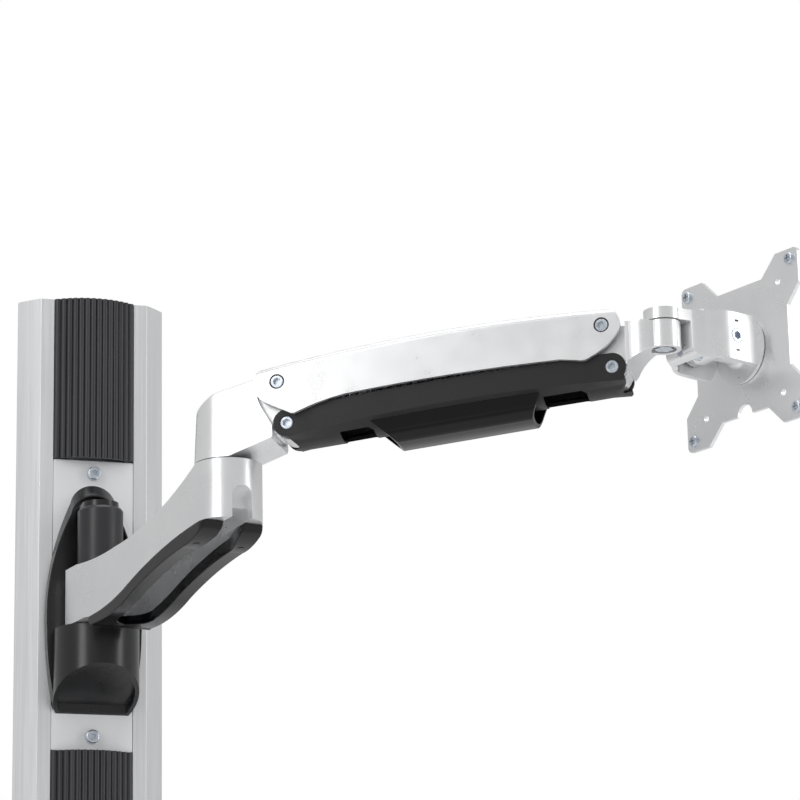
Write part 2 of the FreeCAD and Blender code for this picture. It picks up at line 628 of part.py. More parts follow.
def upper_link_shell():
    """Long inverted trough in cast aluminium, gently arched, with rounded ends on the pins."""
    body = new_body("upper_link")
    outline = [
        (-10.6, 10.6, (107.7, 16.4)), (-10.5, -11.9, (-15.8, 0.0)), (6.4, -22.3), (9.8, -22.9, (8.0, -22.9)),
        (45.0, -15.9, (26.0, -18.6)), (185.9, -18.2, (100.0, -15.2)), (197.0, -20.6),
        (206.0, -19.8, (201.8, -21.2)),
        (226.6, -4.4, (217.6, -13.6)), (227.3, 0.5, (227.4, -2.0)), (221.8, 10.8, (226.0, 6.2)),
    ]
    pad(body, new_sketch(body, "XZ_Plane", outlines=[outline]), "2 * dims.upper_half", both_ways=True)
    round_edges(body, 5.0, lambda edge: edge.BoundBox.XLength > 200 and edge.BoundBox.ZMin > 5)
    hollow = [(-25.0, -40.0), (-25.0, 30.0), (-5.0, 30.0), (-5.0, 7.4), (217.0, 7.6, (107.7, 13.2)),
              (217.0, 30.0), (250.0, 30.0), (250.0, -40.0)]
    pocket(body, new_sketch(body, "XZ_Plane", outlines=[hollow]), 41.0, both_ways=True)
    bore(body, "XZ_Plane", [(0.0, 0.0, "dims.pin_ring"), ("dims.link_length", 0.0, "dims.pin_ring")],
         both_ways=True)
    body.Placement = UPPER_LINK
    return body


def hex_section(half, foot, knee, top, bottom):
    """Trough section: upright sides, sloping flanks from the knees and a slightly round floor."""
    return [(-half, top), (half, top), (half, knee), (foot, bottom),
            (-foot, bottom, (0.0, bottom - FLOOR_SAG)), (-half, knee)]


FLOOR_SAG = 3.0


def loft(body, kind, stations, half, foot, knees, top, bottom):
    """Loft through three cross-sections whose knee line is arched."""
    sketches = [new_sketch(body, "YZ_Plane", offset=reach,
                           outlines=[hex_section(half, foot, knee, top, bottom)])
                for reach, knee in zip(stations, knees)]
    feature = body.newObject("PartDesign::" + kind, body.Name + "_loft")
    feature.Profile = sketches[0]
    feature.Sections = sketches[1:]
    doc.recompute()
    return feature


def link_envelope(body, grown):
    """Outer shape of the lower link, grown by a clearance."""
    loft(body, "AdditiveLoft", (-16.0, LINK / 2, LINK + 16.0), value("dims.inner_half") + grown,
         12.0 + grown, [knee - grown for knee in (-11.2, -4.4, -11.2)], 14.0, -10.9 - grown)


def lower_link_shell():
    """Black trough with chamfered flanks, nested inside the upper link, open at the top."""
    body = new_body("lower_link")
    length = value("dims.link_length")
    middle = length / 2
    link_envelope(body, 0.0)
    keep_outside = [
        [(-30.0, 30.0), (-30.0, -9.0), (0.0, -9.0), (0.0, 9.0, (-9.0, 0.0)), (length, 9.0, (middle, 11.1)),
         (length + 30.0, 9.0), (length + 30.0, 30.0)],
        [(-30.0, -9.0), (-0.6, -9.0), (3.6, -13.0), (3.6, -30.0), (-30.0, -30.0)],
        [(length, 9.0), (length + 6.9, -5.8, (length + 9.0, 0.0)), (length + 7.3, -8.7),
         (length - 1.0, -13.9, (length + 3.6, -12.2)), (length - 1.0, -30.0), (length + 30.0, -30.0),
         (length + 30.0, 9.0)],
    ]
    cut_away(body, keep_outside)
    loft(body, "SubtractiveLoft", (-20.0, middle, length + 20.0), 17.0, 10.4, (-9.7, -3.2, -9.7), 20.0, -9.5)
    for low, high in ((33.0, 55.0), (168.0, 196.0)):
        window = [(low, -13.0), (high - 3.0, -13.0), (high, -10.0), (high, 10.0), (high - 3.0, 13.0),
                  (low, 13.0)]
        pocket(body, new_sketch(body, "XY_Plane", offset=-7.5, outlines=[window]), 10.0)
    bore(body, "XZ_Plane", [(0.0, 0.0, "dims.pin_ring"), ("dims.link_length", 0.0, "dims.pin_ring")],
         both_ways=True)
    body.Placement = LOWER_LINK
    return body


def cable_clip():
    """Glossy rounded trough under the lower link that the cables run through."""
    body = new_body("clip")
    outer = [(-17.2, -6.0), (-16.4, -15.0), (-9.5, -23.6, (-14.6, -21.4)), (9.5, -23.6, (0.0, -24.4)),
             (16.4, -15.0, (14.6, -21.4)), (17.2, -6.0), (15.4, -7.0), (14.6, -15.1),
             (8.6, -21.4, (12.8, -19.6)), (-8.6, -21.4, (0.0, -22.2)), (-14.6, -15.1, (-12.8, -19.6)),
             (-15.4, -7.0)]
    pad(body, new_sketch(body, "YZ_Plane", offset=54.0, outlines=[outer]), 112.0)
    cut_away(body, [[(40.0, -5.0), (52.0, -5.0), (72.0, -26.0), (72.0, -30.0), (40.0, -30.0)],
                    [(180.0, -5.0), (168.0, -5.0), (158.0, -26.0), (158.0, -30.0), (180.0, -30.0)]])
    seat = new_body("clip_seat")
    link_envelope(seat, value("dims.running_gap"))
    clip = doc.addObject("Part::Cut", "clip_cut")
    clip.Base = body
    clip.Tool = seat
    doc.recompute()
    clip.Placement = LOWER_LINK
    return clip


def lift_spring():
    """Counterbalance spring, as the closed sleeve that its coils fill."""
    low, coils, pitch = 30.0, 19, 6.9
    outline = [(9.4, low + coils * pitch), (9.4, low), (11.2, low)]
    for coil in range(coils):
        start = low + coil * pitch
        outline.append((11.2, start + pitch, (12.2, start + pitch / 2)))
    return turned("spring", outline, frame=LOWER_LINK, at=(0, 0, ROD[1]), axis="x")


def spring_seat():
    """Cross wall of the lower link that the rear end of the spring bears on."""
    body = new_body("seat")
    outline = [(-16.9, 0.0), (16.9, 0.0), (16.9, 12.0), (8.0, 25.4, (14.0, 22.0)), (-8.0, 25.4),
               (-16.9, 12.0, (-14.0, 22.0))]
    pad(body, new_sketch(body, "YZ_Plane", offset=25.8, outlines=[outline]), 4.0)
    bore(body, "YZ_Plane", [(0.0, ROD[1], 3.6)], both_ways=True)
    body.Placement = LOWER_LINK
    return body


def links():
    outer = value("dims.upper_half")
    inner = value("dims.inner_half")
    tongue = value("dims.tongue_half") + 0.3
    keep("upper_link_shell", upper_link_shell())
    keep("upper_link_rear_bushings", bushing_pair("bush_upper_rear", UPPER_LINK, 0.0, tongue, outer))
    keep("upper_link_front_bushings", bushing_pair("bush_upper_front", UPPER_LINK, LINK, tongue, outer))
    keep("lower_link_shell", lower_link_shell())
    keep("lower_link_rear_bushings", bushing_pair("bush_lower_rear", LOWER_LINK, 0.0, tongue, inner))
    keep("lower_link_front_bushings", bushing_pair("bush_lower_front", LOWER_LINK, LINK, tongue, inner))
    keep("arm_cable_clip", cable_clip())
    keep("lift_spring", lift_spring())
    keep("spring_seat", spring_seat())


def pull_rod():
    """Rod through the spring, ending in a forked hook that drops over the anchor pin."""
    hook = new_body("hook")
    ahead = ROD[0]
    outline = [(ahead - 7.5, ROD[1] - 5.5), (ahead - 2.9, ROD[1] - 5.5), (ahead - 2.9, ROD[1]),
               (ahead + 2.9, ROD[1], (ahead, ROD[1] + 2.9)), (ahead + 2.9, ROD[1] - 5.5),
               (ahead + 7.5, ROD[1] - 5.5), (ahead + 9.0, ROD[1] + 3.5), (ahead + 3.0, ROD[1] + 7.0),
               (ahead - 7.5, ROD[1], (ahead - 5.2, ROD[1] + 5.2))]
    pad(hook, new_sketch(hook, "XZ_Plane", outlines=[outline]), 8.0, both_ways=True)
    shank = turned("shank", [(0, 3.4), (3.0, 3.4), (3.0, 184.0), (2.4, 185.0), (0, 185.0)],
                   at=(0, 0, ROD[1]), axis="x")
    rod = doc.addObject("Part::Fuse", "rod")
    rod.Base = hook
    rod.Tool = shank
    doc.recompute()
    rod.Placement = LOWER_LINK
    return rod


def tension_parts():
    keep("pull_rod", pull_rod())
    place = (0, 0, ROD[1])
    keep("tension_washer", turned("tension_disc", tube_outline(3.0, 11.5, 161.6, 164.0),
                                  frame=LOWER_LINK, at=place, axis="x"))
    nut = new_body("tension_hex")
    hexagon = hex_outline(10.0, centre=(0.0, ROD[1]))
    pad(nut, new_sketch(nut, "YZ_Plane", offset=164.0, outlines=[hexagon], circles=[(0.0, ROD[1], 3.0)]), 6.0)
    nut.Placement = LOWER_LINK
    keep("tension_nut", nut)


# ---- front bracket --------------------------------------------------------------------

NUT_LOW = 98.6
NUT_TOP = 103.4


def front_bracket():
    """Cast end piece: tongue on the two front pins, tapering to the vertical pan boss."""
    body = new_body("front_body")
    pan = value("dims.pan_reach")
    plan = [(268.4, -21.5), (271.0, -21.5), (pan - 5.0, -10.1, (276.5, -15.0)),
            (pan - 5.0, 10.1, (pan + 11.3, 0.0)), (271.0, 21.5, (276.5, 15.0)), (268.4, 21.5)]
    pad(body, new_sketch(body, "XY_Plane", offset=70.0, outlines=[plan]), 60.0)
    above = [(250.0, 113.7), (272.0, 113.4), (278.0, 116.4, (276.0, 114.4)), (320.0, 116.4),
             (320.0, 140.0), (250.0, 140.0)]
    below = [(250.0, 85.0), (268.9, 85.0), (284.0, 98.4, (275.4, 92.6)), (320.0, 98.4), (320.0, 60.0),
             (250.0, 60.0)]
    cut_away(body, [above, below])
    wide = [(270.0, 112.0), on_circle(FRONT_UPPER, 6.8, 5),
            on_circle(FRONT_UPPER, 6.8, 190) + (on_circle(FRONT_UPPER, 6.8, 95),),
            on_circle(FRONT_LOWER, 7.6, 175),
            on_circle(FRONT_LOWER, 7.6, -20) + (on_circle(FRONT_LOWER, 7.6, -100),), (270.0, 88.0)]
    pad(body, new_sketch(body, "XZ_Plane", outlines=[wide]), "2 * dims.tongue_half", both_ways=True)
    deep = [(268.5, 92.0), on_circle(FRONT_LOWER, DEEP_RADIUS, 150),
            on_circle(FRONT_LOWER, DEEP_RADIUS, -15) + (on_circle(FRONT_LOWER, DEEP_RADIUS, -100),)]
    pad(body, new_sketch(body, "XZ_Plane", outlines=[deep]), 21.0, both_ways=True)
    bore(body, "XZ_Plane", [FRONT_UPPER + ("dims.pin_radius",), FRONT_LOWER + ("dims.pin_radius",)],
         both_ways=True)
    bore(body, "XY_Plane", [("dims.pan_reach", 0.0, "dims.pan_bolt_radius + dims.running_gap")],
         both_ways=True)
    bore(body, "XY_Plane", [("dims.pan_reach", 0.0, 8.2)], offset=NUT_LOW - 10.0,
         length=NUT_TOP - NUT_LOW + 10.2, backwards=True)
    body.Placement = UPPER
    return body


def front_side():
    keep("front_bracket", front_bracket())
    keep("front_upper_pin", cross_pin("pin_front_upper", FRONT_UPPER, value("dims.upper_half")))
    keep("front_lower_pin", cross_pin("pin_front_lower", FRONT_LOWER, value("dims.inner_half")))
    keep("pan_washer", turned("pan_disc", tube_outline("dims.pan_bolt_radius + 0.3", 11.0, 116.4, 116.75),
                              frame=HEAD))


# ---- pan head -------------------------------------------------------------------------

ADJUST_HEIGHT = 98.6
HOOD_TOP = 124.4
BOLT_SEAT = 120.0


def pan_head():
    """Hood-shaped clevis: lug on the pan bolt, shoulders swept out to two cheeks, open below."""
    body = new_body("head")
    plan = [(4.0, -11.84, (-12.5, 0.0)), (13.0, -13.3), (22.4, -18.66, (18.3, -15.4)),
            (38.0, -25.1, (29.6, -23.43)), (70.0, -25.1), (70.0, 25.1), (38.0, 25.1),
            (22.4, 18.66, (29.6, 23.43)), (13.0, 13.3, (18.3, 15.4)), (4.0, 11.84)]
    pad(body, new_sketch(body, "XY_Plane", offset=86.0, outlines=[plan]), HOOD_TOP - 86.0)
    tail_top = (58.4, HOOD_TOP)
    outside = [
        [(-20.0, 80.0), (-20.0, 116.9), (12.2, 116.9), (13.0, 101.0), (16.6, 95.0, (13.9, 97.4)),
         (30.0, 93.0), (57.1, 91.8), tail_top + ((64.46, 108.8),), (80.0, HOOD_TOP), (80.0, 80.0)],
    ]
    cut_away(body, outside)
    hollow = [(21.0, -12.0), (27.0, -19.0, (24.6, -15.0)), (31.0, -20.4), (80.0, -20.4), (80.0, 20.4),
              (31.0, 20.4), (27.0, 19.0), (21.0, 12.0, (24.6, 15.0))]
    pocket(body, new_sketch(body, "XY_Plane", offset=120.0, outlines=[hollow]), 50.0)
    relief = [(30.0, -11.0), (46.0, -11.0), (50.0, -20.4), (80.0, -20.4), (80.0, 20.4), (50.0, 20.4),
              (46.0, 11.0), (30.0, 11.0)]
    pocket(body, new_sketch(body, "XY_Plane", offset=130.0, outlines=[relief]), 20.0)
    bore(body, "XZ_Plane", [("dims.tilt_reach", "dims.tilt_height", "dims.axle_radius")], both_ways=True)
    for rise in (-9.9, 9.9):
        height = value("dims.tilt_height") + rise
        reach = value("dims.tilt_reach")
        slot = [(reach - 1.6, height - 0.75), (reach + 1.6, height - 0.75), (reach + 1.6, height + 0.75),
                (reach - 1.6, height + 0.75)]
        pocket(body, new_sketch(body, "XZ_Plane", outlines=[slot]), both_ways=True)
    bore(body, "XY_Plane", [(0.0, 0.0, "dims.pan_bolt_radius")], both_ways=True)
    bore(body, "XY_Plane", [(0.0, 0.0, 8.8)], offset=130.0, length=130.0 - BOLT_SEAT)
    bore(body, "YZ_Plane", [(0.0, ADJUST_HEIGHT, 2.5)], offset=10.0, length=14.0, backwards=True)
    body.Placement = HEAD
    return body


def tilt_axle():
    """Cross axle of the tilt hinge with a hexagon socket at each end."""
    body = turned("axle", [(0, -25.4), (4.4, -25.4), ("dims.axle_radius", -24.9),
                           ("dims.axle_radius", 24.9), (4.4, 25.4), (0, 25.4)])
    for sign in (-1, 1):
        sketch = new_sketch(body, "XY_Plane", offset=sign * 25.4, outlines=[hex_outline(5.0)])
        pocket(body, sketch, 3.0, backwards=sign < 0)
    place = V(value("dims.tilt_reach"), 0, value("dims.tilt_height"))
    body.Placement = HEAD.multiply(FreeCAD.Placement(place, AXIS_TURN["y"]))
    return body


def tilt_springs():
    """Two torsion springs on the axle, as the closed sleeves that their coils fill."""
    pieces = []
    wire = 1.8
    coils = 4
    for side in (-1, 1):
        low = 12.9 if side > 0 else -12.9 - coils * wire
        outline = [(8.9, low + coils * wire), (8.9, low), (9.9, low)]
        for coil in range(coils):
            start = low + coil * wire
            outline.append((9.9, start + wire, (10.8, start + wire / 2)))
        pieces.append(turned("torsion_%d" % (side + 1), outline, axis="y"))
    group = collection("torsion_set", pieces)
    place = V(value("dims.tilt_reach"), 0, value("dims.tilt_height"))
    group.Placement = HEAD.multiply(FreeCAD.Placement(place, FreeCAD.Rotation()))
    return group


def pan_and_tilt_parts():
    keep("pan_head", pan_head())
    bolt = turned("pan_screw", [(0, NUT_TOP), ("dims.pan_bolt_radius", NUT_TOP),
                                ("dims.pan_bolt_radius", BOLT_SEAT), (8.6, BOLT_SEAT), (8.6, HOOD_TOP - 1.0),
                                (0, HOOD_TOP - 1.0)], frame=HEAD)
    socket_head(bolt, 6.0, HOOD_TOP - 1.0, 2.5)
    keep("pan_bolt", bolt)
    nut = new_body("pan_hex")
    pad(nut, new_sketch(nut, "XY_Plane", offset=NUT_LOW, outlines=[hex_outline(11.0)]), NUT_TOP - NUT_LOW)
    nut.Placement = HEAD
    keep("pan_nut", nut)
    keep("tilt_axle", tilt_axle())
    keep("tilt_spring", tilt_springs())
    screw = turned("tension_screw", [(0, 14.0), (2.5, 14.0), (2.5, 31.0), (0, 31.0)], frame=HEAD,
                   at=(0, 0, ADJUST_HEIGHT), axis="x")
    keep("tilt_adjust_screw", screw)


def tilt_block():
    """Hub that tilts between the cheeks: barrel on the axle, neck and round flange."""
    reach, height = value("dims.tilt_reach"), value("dims.tilt_height")
    length = value("dims.plate_reach") - value("dims.plate_sheet") - 0.45 - reach
    neck = turned("neck", [(0, 4.0), (10.0, 4.0), (10.0, length - 6.8),
                           (14.0, length - 3.4, (11.2, length - 4.4)),
                           (22.6, length - 2.4), (22.6, length), (0, length)], axis="x")
    barrel = turned("barrel", tube_outline("dims.axle_radius + dims.running_gap", 10.6, -12.4, 12.4), axis="y")
    window = turned("barrel_bore", [(0, -13.0), ("dims.axle_radius + dims.running_gap", -13.0),
                                    ("dims.axle_radius + dims.running_gap", 13.0), (0, 13.0)], axis="y")
    bolt_hole = turned("bolt_bore", [(0, 12.0), (6.0, 12.0), (6.0, length + 1.0), (0, length + 1.0)], axis="x")
    joined = doc.addObject("Part::Fuse", "hub_joined")
    joined.Base = neck
    joined.Tool = barrel
    holes = doc.addObject("Part::Fuse", "hub_holes")
    holes.Base = window
    holes.Tool = bolt_hole
    hub = doc.addObject("Part::Cut", "hub")
    hub.Base = joined
    hub.Tool = holes
    doc.recompute()
    hub.Placement = HEAD.multiply(FreeCAD.Placement(V(reach, 0, height), FreeCAD.Rotation()))
    return hub


# ---- screen plate ---------------------------------------------------------------------

def screen_plate():
    """Star-shaped steel plate with 75 mm and 100 mm hole squares."""
    body = new_body("screen_plate")
    arm = [(45.0, 20.0), (57.0, 33.0), (57.0, 53.0), (53.0, 57.0, (55.83, 55.83)), (36.0, 57.0),
           (22.0, 43.5)]
    other_arm = [(57.0, -33.0), (45.0, -20.0)]
    outline = (arm + [(-22.0, 43.5), (-36.0, 57.0), (-53.0, 57.0), (-57.0, 53.0, (-55.83, 55.83)),
                      (-57.0, 33.0), (-45.0, 20.0), (-45.0, -20.0), (-57.0, -33.0), (-57.0, -53.0),
                      (-53.0, -57.0, (-55.83, -55.83)), (-36.0, -57.0), (-22.0, -43.5),
                      (-7.0, -43.5), (7.0, -43.5, (0.0, -36.5)), (22.0, -43.5), (36.0, -57.0),
                      (53.0, -57.0), (57.0, -53.0, (55.83, -55.83))] + other_arm)
    pad(body, new_sketch(body, "YZ_Plane", offset="dims.plate_reach - dims.plate_sheet",
                         outlines=[outline]), "dims.plate_sheet")
    holes = [(0.0, 0.0, 6.1)]
    for spacing, radius in (("dims.vesa_small", 2.25), ("dims.vesa_large", 2.0)):
        holes += [(("" if x > 0 else "-") + spacing, ("" if y > 0 else "-") + spacing, radius)
                  for x in (-1, 1) for y in (-1, 1)]
    bore(body, "YZ_Plane", holes, both_ways=True)
    body.Placement = HEAD.multiply(FreeCAD.Placement(V(0, 0, value("dims.tilt_height")), FreeCAD.Rotation()))
    return body


SHANK_NECK = 1.6


def screen_screw(name, across, up):
    """Pan-head machine screw that fixes a screen to the plate."""
    face = value("dims.plate_reach")
    rear = face - value("dims.plate_sheet")
    body = turned(name, [(0, rear - 2.6), (2.6, rear - 2.6), (3.8, rear - 1.6, (3.4, rear - 2.3)),
                         (3.8, rear), (SHANK_NECK, rear), (SHANK_NECK, face), (2.0, face), (2.0, rear + 10.0),
                         (0, rear + 10.0)])
    cross = [(-2.2, -0.4), (-0.4, -0.4), (-0.4, -2.2), (0.4, -2.2), (0.4, -0.4), (2.2, -0.4),
             (2.2, 0.4), (0.4, 0.4), (0.4, 2.2), (-0.4, 2.2), (-0.4, 0.4), (-2.2, 0.4)]
    pocket(body, new_sketch(body, "XY_Plane", offset=rear - 2.6, outlines=[cross]), 1.3, backwards=True)
    place = V(0, across, value("dims.tilt_height") + up)
    body.Placement = HEAD.multiply(FreeCAD.Placement(place, AXIS_TURN["x"]))
    return body


def screen_side():
    keep("tilt_block", tilt_block())
    height = value("dims.tilt_height")
    face = value("dims.plate_reach")
    back = face - value("dims.plate_sheet")
    keep("rotation_washer", turned("rotation_disc", tube_outline(6.3, 20.0, back - 0.4, back - 0.05),
                                   frame=HEAD, at=(0, 0, height), axis="x"))
    screw = turned("rotation_fixing", [(0, back - 12.0), (6.0, back - 12.0), (6.0, face + 0.15),
                                       (10.0, face + 0.15), (10.0, face + 1.6), (8.8, face + 2.6),
                                       (0, face + 2.6)], frame=HEAD, at=(0, 0, height), axis="x")
    socket_head(screw, 6.0, face + 2.6, 3.0)
    keep("rotation_screw", screw)
    keep("vesa_plate", screen_plate())
    spacing = value("dims.vesa_large")
    places = [(-spacing, spacing), (spacing, spacing), (-spacing, -spacing), (spacing, -spacing)]
    for number, (across, up) in enumerate(places, start=1):
        keep("vesa_screw_%d" % number, screen_screw("screen_fixing_%d" % number, across, up))


# ---- build, check and write -----------------------------------------------------------

def check_document():
    for item in doc.Objects:
        if "Invalid" in item.State or "Error" in item.State:
            raise ValueError("%s is %s" % (item.Label, item.State))
    for name, thing in NODES.items():
        if thing.Shape.isNull() or not thing.Shape.isValid():
            raise ValueError("%s has no valid shape" % name)
        if not thing.Shape.Solids:
            raise ValueError("%s has no solid" % name)


wall_side()
lower_arm()
elbow_side()
links()
tension_parts()
front_side()
pan_and_tilt_parts()
screen_side()
doc.recompute()
check_document()
for name, thing in NODES.items():
    thing.Shape.exportStep("parts/%s.step" % name)
print("%d sub-parts written" % len(NODES))
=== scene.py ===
import json
import math

import bpy
from mathutils import Matrix, Vector


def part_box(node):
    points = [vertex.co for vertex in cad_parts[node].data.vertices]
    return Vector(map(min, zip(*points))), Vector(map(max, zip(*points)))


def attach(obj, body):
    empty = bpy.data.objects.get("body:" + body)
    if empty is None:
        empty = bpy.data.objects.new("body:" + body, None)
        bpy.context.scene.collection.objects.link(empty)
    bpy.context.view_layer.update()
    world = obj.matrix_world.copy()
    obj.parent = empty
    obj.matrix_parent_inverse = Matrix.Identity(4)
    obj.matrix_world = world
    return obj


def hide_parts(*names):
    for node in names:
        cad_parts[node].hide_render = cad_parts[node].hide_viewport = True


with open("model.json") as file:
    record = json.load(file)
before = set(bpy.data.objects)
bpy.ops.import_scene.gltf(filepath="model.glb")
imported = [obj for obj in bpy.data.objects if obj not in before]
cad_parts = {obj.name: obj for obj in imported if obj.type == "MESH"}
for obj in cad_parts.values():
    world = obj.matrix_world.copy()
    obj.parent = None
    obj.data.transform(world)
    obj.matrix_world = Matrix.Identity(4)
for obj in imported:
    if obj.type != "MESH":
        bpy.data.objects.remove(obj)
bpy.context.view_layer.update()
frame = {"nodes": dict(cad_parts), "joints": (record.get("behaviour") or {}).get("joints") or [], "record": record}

# Everything is in metres, in the frame of the CAD: +Z up, +X along the wall, -Y into the room.


# ---- camera ---------------------------------------------------------------------------

CAMERA_PLACE = (-0.4555, -2.2922, -0.5143)
CAMERA_HEADING = 16.83  # degrees to the right of straight at the wall
CAMERA_CLIMB = 15.98    # degrees upwards
CAMERA_ROLL = -1.18     # degrees
LENS_MM = 148.49
SENSOR_MM = 36.0
FARTHEST = 50.0


def make_camera():
    """Looks up at the arm from the left, through a long lens."""
    heading = math.radians(CAMERA_HEADING)
    climb = math.radians(CAMERA_CLIMB)
    roll = math.radians(CAMERA_ROLL)
    forward = Vector((math.sin(heading) * math.cos(climb),
                      math.cos(heading) * math.cos(climb),
                      math.sin(climb)))
    level = Vector((math.cos(heading), -math.sin(heading), 0.0))
    upright = level.cross(forward)
    right = level * math.cos(roll) + upright * math.sin(roll)
    up = upright * math.cos(roll) - level * math.sin(roll)
    data = bpy.data.cameras.new("camera")
    data.lens = LENS_MM
    data.sensor_width = SENSOR_MM
    data.clip_end = FARTHEST
    camera = bpy.data.objects.new("camera", data)
    turn = Matrix((right, up, -forward)).transposed().to_4x4()
    camera.matrix_world = Matrix.Translation(CAMERA_PLACE) @ turn
    bpy.context.scene.collection.objects.link(camera)
    bpy.context.scene.camera = camera


make_camera()


# ---- materials ------------------------------------------------------------------------

def new_material(name, colour, metallic, roughness):
    """A material whose constants sit on the shader itself."""
    material = bpy.data.materials.new(name)
    material.use_nodes = True
    shader = material.node_tree.nodes["Principled BSDF"]
    shader.inputs["Base Color"].default_value = (*colour, 1.0)
    shader.inputs["Metallic"].default_value = metallic
    shader.inputs["Roughness"].default_value = roughness
    return material, shader


# Noise gathers round its middle, so each range is taken up within this part of it.
NOISE_RANGE = (0.3, 0.7)
TINT_RANGE = (0.32, 0.68)


def node(material, kind, **settings):
    """Add a shader node and set its inputs or its properties by name."""
    made = material.node_tree.nodes.new(kind)
    for name, setting in settings.items():
        if name in made.inputs:
            made.inputs[name].default_value = setting
        else:
            setattr(made, name, setting)
    return made


def join(material, output, target):
    """Link two sockets."""
    material.node_tree.links.new(output, target)


def noise(material, scale, stretch=(1.0, 1.0, 1.0), detail=3.0):
    """Object-space noise, finer along an axis with a larger stretch."""
    place = node(material, "ShaderNodeTexCoord")
    mapping = node(material, "ShaderNodeMapping")
    mapping.inputs["Scale"].default_value = stretch
    texture = node(material, "ShaderNodeTexNoise")
    texture.inputs["Scale"].default_value = scale
    texture.inputs["Detail"].default_value = detail
    join(material, place.outputs["Object"], mapping.inputs["Vector"])
    join(material, mapping.outputs["Vector"], texture.inputs["Vector"])
    return texture.outputs["Fac"]


def roughen(material, shader, value, low, high):
    """Vary the roughness between two values by noise."""
    ramp = node(material, "ShaderNodeMapRange")
    ramp.inputs["From Min"].default_value = NOISE_RANGE[0]
    ramp.inputs["From Max"].default_value = NOISE_RANGE[1]
    ramp.inputs["To Min"].default_value = low
    ramp.inputs["To Max"].default_value = high
    join(material, value, ramp.inputs["Value"])
    join(material, ramp.outputs["Result"], shader.inputs["Roughness"])


def tint(material, shader, value, low, high):
    """Blend the colour between two by noise."""
    ramp = node(material, "ShaderNodeValToRGB")
    ramp.color_ramp.elements[0].position = TINT_RANGE[0]
    ramp.color_ramp.elements[0].color = (*low, 1.0)
    ramp.color_ramp.elements[1].position = TINT_RANGE[1]
    ramp.color_ramp.elements[1].color = (*high, 1.0)
    join(material, value, ramp.inputs["Fac"])
    join(material, ramp.outputs["Color"], shader.inputs["Base Color"])


def relief(material, shader, value, strength, depth):
    """Bump of a real depth in metres."""
    bump = node(material, "ShaderNodeBump")
    bump.inputs["Strength"].default_value = strength
    bump.inputs["Distance"].default_value = depth
    join(material, value, bump.inputs["Height"])
    join(material, bump.outputs["Normal"], shader.inputs["Normal"])


def silver_casting():
    """Satin silver powder coat: fine grain over a bright, slightly uneven ground."""
    material, shader = new_material("silver_coat", (0.80, 0.81, 0.82), metallic=0.72, roughness=0.30)
    cloud = noise(material, 18.0)
    tint(material, shader, cloud, (0.80, 0.805, 0.815), (0.86, 0.865, 0.87))
    roughen(material, shader, noise(material, 60.0), low=0.26, high=0.35)
    relief(material, shader, noise(material, 1400.0, detail=1.0), strength=0.06, depth=0.00004)
    return material


def anodised_track():
    """Extruded aluminium with faint drawing lines along its length."""
    material, shader = new_material("drawn_aluminium", (0.79, 0.80, 0.81), metallic=0.7, roughness=0.32)
    lines = noise(material, 900.0, stretch=(1.0, 1.0, 0.012), detail=2.0)
    tint(material, shader, lines, (0.76, 0.77, 0.78), (0.82, 0.825, 0.83))
    roughen(material, shader, lines, low=0.30, high=0.42)
    relief(material, shader, lines, strength=0.12, depth=0.00003)
    return material


def plate_steel():
    """Pale satin paint on sheet steel."""
    material, shader = new_material("pale_steel", (0.80, 0.81, 0.82), metallic=0.35, roughness=0.42)
    cloud = noise(material, 25.0)
    tint(material, shader, cloud, (0.78, 0.79, 0.80), (0.83, 0.84, 0.85))
    relief(material, shader, noise(material, 1800.0, detail=2.0), strength=0.12, depth=0.00005)
    return material


def black_casting():
    """Satin black paint with a slight orange peel."""
    material, shader = new_material("satin_black", (0.006, 0.006, 0.007), metallic=0.0, roughness=0.34)
    shader.inputs["Specular IOR Level"].default_value = 0.4
    shader.inputs["Coat Weight"].default_value = 0.35
    shader.inputs["Coat Roughness"].default_value = 0.22
    roughen(material, shader, noise(material, 45.0), low=0.26, high=0.36)
    relief(material, shader, noise(material, 420.0, detail=2.0), strength=0.10, depth=0.0001)
    return material


def ribbed_cover():
    """Charcoal plastic with faint drawing lines."""
    material, shader = new_material("charcoal_plastic", (0.026, 0.026, 0.029), metallic=0.0, roughness=0.42)
    lines = noise(material, 500.0, stretch=(1.0, 1.0, 0.02), detail=2.0)
    tint(material, shader, lines, (0.020, 0.020, 0.023), (0.034, 0.034, 0.038))
    roughen(material, shader, lines, low=0.36, high=0.48)
    return material


def gloss_black_plastic():
    """Polished moulded black plastic with faint waviness."""
    material, shader = new_material("gloss_black", (0.003, 0.003, 0.004), metallic=0.0, roughness=0.14)
    shader.inputs["Specular IOR Level"].default_value = 0.22
    shader.inputs["Coat Weight"].default_value = 0.15
    shader.inputs["Coat Roughness"].default_value = 0.08
    roughen(material, shader, noise(material, 40.0), low=0.11, high=0.19)
    relief(material, shader, noise(material, 55.0, detail=1.0), strength=0.08, depth=0.0004)
    return material


def fine_texture_black():
    """Black casting with a fine powdery texture."""
    material, shader = new_material("powder_black", (0.007, 0.007, 0.008), metallic=0.0, roughness=0.42)
    shader.inputs["Specular IOR Level"].default_value = 0.4
    roughen(material, shader, noise(material, 70.0), low=0.38, high=0.50)
    relief(material, shader, noise(material, 1500.0, detail=3.0), strength=0.22, depth=0.00009)
    return material


def dark_sleeve():
    """Dark grey satin plastic."""
    material, shader = new_material("dark_grey", (0.020, 0.020, 0.023), metallic=0.0, roughness=0.40)
    roughen(material, shader, noise(material, 50.0), low=0.35, high=0.46)
    relief(material, shader, noise(material, 900.0, detail=2.0), strength=0.10, depth=0.00005)
    return material


